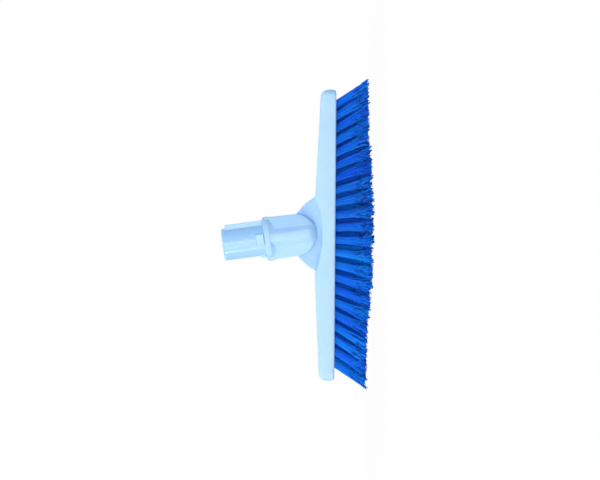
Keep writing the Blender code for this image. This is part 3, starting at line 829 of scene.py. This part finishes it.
def bristle_tree(finish):
    """The nodes that grow one row of tufts.

    Each filament starts inside its hole, runs along its tuft's lean and flares late. The
    filaments of a tuft gather into clumps, but for a loose share of them, and each clump is
    trimmed to a length of its own.
    """
    tree = bpy.data.node_groups.new("bristle_row", "GeometryNodeTree")
    sizes = {
        "Tufts": len(NODES_NEAR),
        "Row Half Length": ROW_HALF_LENGTH,
        "Row Offset": -ROW_OFFSET,
        "Row Shift": ROW_SHIFT,
        "Face Height": FACE_HEIGHT,
        "End Lean": END_LEAN,
        "Filaments": FILAMENTS_IN_TUFT,
        "Filament Radius": FILAMENT_RADIUS,
        "Root Depth": ROOT_DEPTH,
        "Root Radius": ROOT_RADIUS,
        "Tip Radius": TIP_RADIUS,
        "Flare Power": FLARE_POWER,
        "Clumps": CLUMPS_IN_TUFT,
        "Clump Gather": CLUMP_GATHER,
        "Tuft Trim": TUFT_TRIM,
        "Clump Trim": CLUMP_TRIM,
        "Loose Share": LOOSE_SHARE,
        "Loose Trim": LOOSE_TRIM,
        "Filament Trim": FILAMENT_TRIM,
        "Longest Trim": LONGEST_TRIM,
        "Tip Proud": TIP_PROUD,
        "Tip Crown": TIP_CROWN,
        "Crown Start": CROWN_START,
        "Crown End": CROWN_END,
        "Crimp": CRIMP,
        "Crimp Turns": CRIMP_TURNS,
        "Seed": NEAR_SEED,
    }
    for name, value in sizes.items():
        kind = "NodeSocketInt" if isinstance(value, int) else "NodeSocketFloat"
        socket = tree.interface.new_socket(name, in_out="INPUT", socket_type=kind)
        socket.default_value = value
    tree.interface.new_socket("Geometry", in_out="OUTPUT", socket_type="NodeSocketGeometry")
    given = tree.nodes.new("NodeGroupInput")
    size = {name: Wire(tree, given.outputs[name]) for name in sizes}

    def maths(operation, *values):
        return add(tree, "ShaderNodeMath", {"operation": operation}, values)

    def chance(low, high, number, owner=None):
        """A value of each filament's own, or of its owner's where one is given."""
        seed = size["Seed"] + number
        kind = {"data_type": "FLOAT"}
        return add(tree, "FunctionNodeRandomValue", kind, (low, high, owner, seed))

    def scatter(reach, number, owner=None):
        return chance(-reach, reach, number, owner)

    def vector(x, y, z):
        return add(tree, "ShaderNodeCombineXYZ", None, (x, y, z))

    def vectors(operation, *values):
        return add(tree, "ShaderNodeVectorMath", {"operation": operation}, values)

    def stored(geometry, name, kind, value):
        settings = {"data_type": kind, "domain": "POINT"}
        named = {"geometry": geometry, "name": name, "value": value}
        return add(tree, "GeometryNodeStoreNamedAttribute", settings, **named)

    def recalled(name, kind):
        return add(tree, "GeometryNodeInputNamedAttribute", {"data_type": kind}, name=name)

    half = size["Row Half Length"]
    line_kind = {"mode": "END_POINTS", "count_mode": "TOTAL"}
    line_ends = {"start_location": vector(0.0 - half, 0.0, 0.0), "offset": vector(half, 0.0, 0.0)}
    line = add(tree, "GeometryNodeMeshLine", line_kind, count=size["Tufts"], **line_ends)
    spots = stored(line, "tuft", "FLOAT", add(tree, "GeometryNodeInputIndex"))
    copies = add(
        tree, "GeometryNodeDuplicateElements", {"domain": "POINT"},
        geometry=spots, amount=size["Filaments"],
    )
    number = Wire(tree, copies.socket.node.outputs["Duplicate Index"])
    tuft = recalled("tuft", "FLOAT")

    # Where the filament stands in its tuft's round root
    turn = maths("FRACT", number * GOLDEN_SHARE + tuft * TUFT_TURN_SHARE)
    out = ((number + chance(*ROOT_JITTER_SHARES, 0)) / size["Filaments"]) ** 0.5
    angle = turn * math.tau
    root_u = size["Root Radius"] * out * maths("COSINE", angle)
    root_v = size["Root Radius"] * out * maths("SINE", angle)

    # Which clump it gathers to, and where its tip goes
    clump = maths("FLOOR", turn * size["Clumps"])
    clump_angle = (clump + 0.5) / size["Clumps"] * math.tau
    owner = tuft * CLUMP_NUMBER_STRIDE + clump
    clump_out = chance(*CLUMP_OUT_SHARES, 1, owner) * size["Tip Radius"]
    centre_u = clump_out * maths("COSINE", clump_angle) + scatter(CLUMP_SCATTER, 2, owner)
    centre_v = clump_out * maths("SINE", clump_angle) + scatter(CLUMP_SCATTER, 3, owner)
    free_u = size["Tip Radius"] * out * maths("COSINE", angle) + scatter(LOOSE_SCATTER, 4)
    free_v = size["Tip Radius"] * out * maths("SINE", angle) + scatter(LOOSE_SCATTER, 5)
    loose = maths("LESS_THAN", chance(0.0, 1.0, 17), size["Loose Share"])
    gather = size["Clump Gather"] * (1.0 - loose)
    tip_u = free_u + (centre_u - free_u) * gather
    tip_v = free_v + (centre_v - free_v) * gather
    off_centre = ((free_u - centre_u) ** 2.0 + (free_v - centre_v) ** 2.0) ** 0.5

    # The brush's two end flanks stay straight: there no tip flares outwards
    x0 = add(tree, "ShaderNodeSeparateXYZ", None, (add(tree, "GeometryNodeInputPosition"),), "X")
    outer = 1.0 - 2.0 * maths("LESS_THAN", x0, 0.0)
    at_end = maths("ABSOLUTE", x0 / ROW_HALF_LENGTH) ** END_POWER
    reach = 2.0 * size["Tip Radius"] + (size["Root Radius"] - 2.0 * size["Tip Radius"]) * at_end
    tip_u = 0.0 - maths("MINIMUM", 0.0 - tip_u * outer, reach) * outer

    # The lean, and the height that the tip is trimmed to
    lean = size["End Lean"] * maths("SINE", x0 * (math.pi / 2 / ROW_HALF_LENGTH))
    lean = lean + scatter(LEAN_SCATTER, 6)
    lean = lean + scatter(TUFT_LEAN_SCATTER, 18, tuft) * (1.0 - at_end)
    s = maths("SINE", lean)
    c = maths("COSINE", lean)
    face = size["Face Height"]
    place_x = x0 + size["Row Shift"]
    rough_tip_x = place_x + s * (face - s * tip_u) / c - c * tip_u
    off_crown = maths("ABSOLUTE", rough_tip_x - CROWN_CENTRE)
    crown_span = (size["Crown Start"], size["Crown End"])
    crown = smooth_range(tree, off_crown, crown_span, (0.0, size["Tip Crown"]))
    trim = chance(0.0, 1.0, 7, owner) * size["Clump Trim"] + loose * size["Loose Trim"]
    trim = trim + chance(0.0, 1.0, 19, tuft) * size["Tuft Trim"]
    trim = trim + off_centre * (1.0 - loose) * CLUMP_DISH
    trim = trim + chance(0.0, 1.0, 8) ** FILAMENT_TRIM_POWER * size["Filament Trim"]
    trim = trim - size["Longest Trim"]
    tip_z = maths("MAXIMUM", crown + trim, size["Filament Radius"] - size["Tip Proud"])
    length = (face - s * tip_u - tip_z) / c + size["Root Depth"]
    start = vector(
        place_x - s * size["Root Depth"], size["Row Offset"], face + c * size["Root Depth"],
    )
    crimp = size["Crimp"] * chance(*CRIMP_SHARES, 9, owner) * (1.0 - END_CRIMP_LOSS * at_end)
    crimp_way = chance(0.0, math.tau, 10, owner) + scatter(CRIMP_WAY_SCATTER, 15)
    phase = chance(0.0, math.tau, 11, owner) + scatter(CRIMP_PHASE_SCATTER, 16)
    shade = chance(*FILAMENT_SHADES, 12)
    shade = shade + chance(*CLUMP_SHADES, 13, owner) + chance(*TUFT_SHADES, 14, tuft)

    grown = stored(copies, "start", "FLOAT_VECTOR", start)
    grown = stored(grown, "run", "FLOAT_VECTOR", vector(s * length, 0.0, 0.0 - c * length))
    foot = vector(0.0 - c * root_u, root_v, 0.0 - s * root_u)
    grown = stored(grown, "foot", "FLOAT_VECTOR", foot)
    spread = vector(c * (root_u - tip_u), tip_v - root_v, s * (root_u - tip_u))
    grown = stored(grown, "flare", "FLOAT_VECTOR", spread)
    wave = vector(crimp * maths("COSINE", crimp_way), crimp * maths("SINE", crimp_way), 0.0)
    grown = stored(grown, "wave", "FLOAT_VECTOR", wave)
    grown = stored(grown, "phase", "FLOAT", phase)
    grown = stored(grown, "shade", "FLOAT", shade)

    straight = add(tree, "GeometryNodeCurvePrimitiveLine", {"mode": "POINTS"})
    straight = add(tree, "GeometryNodeResampleCurve", curve=straight, count=FILAMENT_POINTS)
    lines = add(tree, "GeometryNodeInstanceOnPoints", points=grown, instance=straight)
    lines = add(tree, "GeometryNodeRealizeInstances", None, (lines,))
    even = add(tree, "GeometryNodeSplineParameter", None, (), "Factor")
    lines = stored(lines, "along", "FLOAT", 1.0 - (1.0 - even) ** POINT_CROWDING)
    along = recalled("along", "FLOAT")
    swing = maths("SINE", recalled("phase", "FLOAT") + along * size["Crimp Turns"])
    swing = swing * along ** CRIMP_POWER
    path = vectors("ADD", recalled("start", "FLOAT_VECTOR"), recalled("foot", "FLOAT_VECTOR"))
    for name, amount in (("run", along), ("flare", along ** size["Flare Power"]), ("wave", swing)):
        part = add(
            tree, "ShaderNodeVectorMath", {"operation": "SCALE"},
            vector=recalled(name, "FLOAT_VECTOR"), scale=amount,
        )
        path = vectors("ADD", path, part)
    lines = add(tree, "GeometryNodeSetPosition", geometry=lines, position=path)
    ring = add(
        tree, "GeometryNodeCurvePrimitiveCircle", {"mode": "RADIUS"}, (), "Curve",
        resolution=FILAMENT_SIDES, radius=size["Filament Radius"],
    )
    named = {"curve": lines, "profile_curve": ring, "fill_caps": True}
    tubes = add(tree, "GeometryNodeCurveToMesh", **named)
    tubes = add(tree, "GeometryNodeSetShadeSmooth", geometry=tubes)
    tubes = add(tree, "GeometryNodeRealizeInstances", None, (tubes,))
    tubes = add(tree, "GeometryNodeSetMaterial", geometry=tubes, material=finish)
    output = tree.nodes.new("NodeGroupOutput")
    tree.links.new(tubes.socket, output.inputs["Geometry"])
    return tree


def grown_mesh(name, tree, **inputs):
    """A plain mesh object grown by a node tree, with no modifier left on it."""
    seed = placed(name + "_seed", bpy.data.meshes.new(name + "_seed"))
    grower = seed.modifiers.new("nodes", "NODES")
    grower.node_group = tree
    for label, value in inputs.items():
        socket = tree.interface.items_tree[label.replace("_", " ")]
        grower[socket.identifier] = value
    depsgraph = bpy.context.evaluated_depsgraph_get()
    mesh = bpy.data.meshes.new_from_object(
        seed.evaluated_get(depsgraph), preserve_all_data_layers=True, depsgraph=depsgraph,
    )
    bpy.data.objects.remove(seed)
    mesh.name = name
    return placed(name, mesh)


def bristles():
    """Both rows of tufts, the far row half a pitch along from the near one."""
    tree = bristle_tree(bristle_fibre())
    near = grown_mesh("near_bristles", tree, Seed=NEAR_SEED)
    far = grown_mesh(
        "far_bristles", tree, Seed=FAR_SEED, Tufts=len(NODES_FAR), Row_Offset=ROW_OFFSET,
        Row_Half_Length=ROW_HALF_LENGTH - TUFT_PITCH / 2,
    )
    for row, nodes in ((near, NODES_NEAR), (far, NODES_FAR)):
        ready(row, "brush_head", "bristle_fibre", *nodes)


def camera():
    """The photograph's view: level, square to the brush's side and rolled a quarter turn."""
    scale = 2 * HALF_LENGTH / PHOTO_BLOCK_LENGTH
    right = Vector((math.sin(PHOTO_ROLL), 0, -math.cos(PHOTO_ROLL)))
    up = Vector((math.cos(PHOTO_ROLL), 0, math.sin(PHOTO_ROLL)))
    aim = Vector((0, BLOCK_LOW.y, FACE_HEIGHT))
    aim -= right * (PHOTO_FACE_MIDDLE[0] - PHOTO_WIDTH / 2) * scale
    aim += up * (PHOTO_FACE_MIDDLE[1] - PHOTO_HEIGHT / 2) * scale
    lens = bpy.data.cameras.new("camera")
    lens.sensor_width = SENSOR_WIDTH
    lens.lens = SENSOR_WIDTH * CAMERA_DISTANCE / (PHOTO_WIDTH * scale)
    lens.clip_start = CLIP_START
    lens.clip_end = CLIP_END
    made = placed("camera", lens)
    back = right.cross(up)
    turn = Matrix((right, up, back)).transposed().to_4x4()
    made.matrix_world = Matrix.Translation(aim + back * CAMERA_DISTANCE) @ turn
    bpy.context.scene.camera = made


def lamp(name, place, size, power, colour):
    """A soft square lamp that shines at the middle of the brush."""
    light = bpy.data.lights.new(name, "AREA")
    light.shape = "SQUARE"
    light.size = size
    light.energy = power
    light.color = colour
    made = placed(name, light)
    made.location = place
    aim = Vector((0, 0, FACE_HEIGHT * LAMP_AIM_RISE_SHARE)) - made.location
    made.rotation_euler = aim.to_track_quat("-Z", "Y").to_euler()


def rays(tree):
    """Whether a ray comes from the camera, off something glossy or through something."""
    path = tree.nodes.new("ShaderNodeLightPath")
    kinds = ("Is Camera Ray", "Is Glossy Ray", "Is Transmission Ray")
    return [Wire(tree, path.outputs[kind]) for kind in kinds]


def studio():
    """Pale floor, white surroundings and soft lamps."""
    world = bpy.data.worlds.new("studio")
    bpy.context.scene.world = world
    world.use_nodes = True
    tree = world.node_tree
    tree.nodes.clear()
    seen, glossy, through = rays(tree)
    direct = seen.math("MAXIMUM", seen, glossy.math("MAXIMUM", glossy, through))
    plain = add(tree, "ShaderNodeBackground", None, (WORLD_COLOUR, WORLD_LEVEL))
    white = add(tree, "ShaderNodeBackground", None, (WHITE, 1.0))
    both = add(tree, "ShaderNodeMixShader", None, (direct, plain, white))
    output = tree.nodes.new("ShaderNodeOutputWorld")
    tree.links.new(both.socket, output.inputs["Surface"])

    made, tree = new_material("floor_white")
    seen, glossy, _ = rays(tree)
    place = add(tree, "ShaderNodeTexCoord", None, (), "Object")
    away = add(tree, "ShaderNodeVectorMath", {"operation": "LENGTH"}, (place,), "Value")
    spread = smooth_range(tree, away, FLOOR_GLOW_REACH, FLOOR_GLOW_SHARES)
    matt = add(tree, "ShaderNodeBsdfDiffuse", None, (FLOOR_GREY,))
    glow = add(tree, "ShaderNodeEmission", None, (WHITE, 1.0))
    shown = seen.math("MAXIMUM", seen, glossy) * spread
    finish_material(tree, add(tree, "ShaderNodeMixShader", None, (shown, matt, glow)))
    shape = bmesh.new()
    bmesh.ops.create_grid(shape, x_segments=1, y_segments=1, size=FLOOR_HALF_SIZE)
    bmesh.ops.translate(shape, verts=shape.verts, vec=(0, 0, -TIP_PROUD))
    mesh = bpy.data.meshes.new("floor")
    shape.to_mesh(mesh)
    shape.free()
    mesh.materials.append(made)
    floor = placed("floor", mesh)
    for settings in LAMPS:
        lamp(*settings)


bpy.context.scene.view_settings.view_transform = "Standard"
camera()
studio()
brush_block()
swivel_yoke()
pivot_pin()
handle_socket()
bristles()
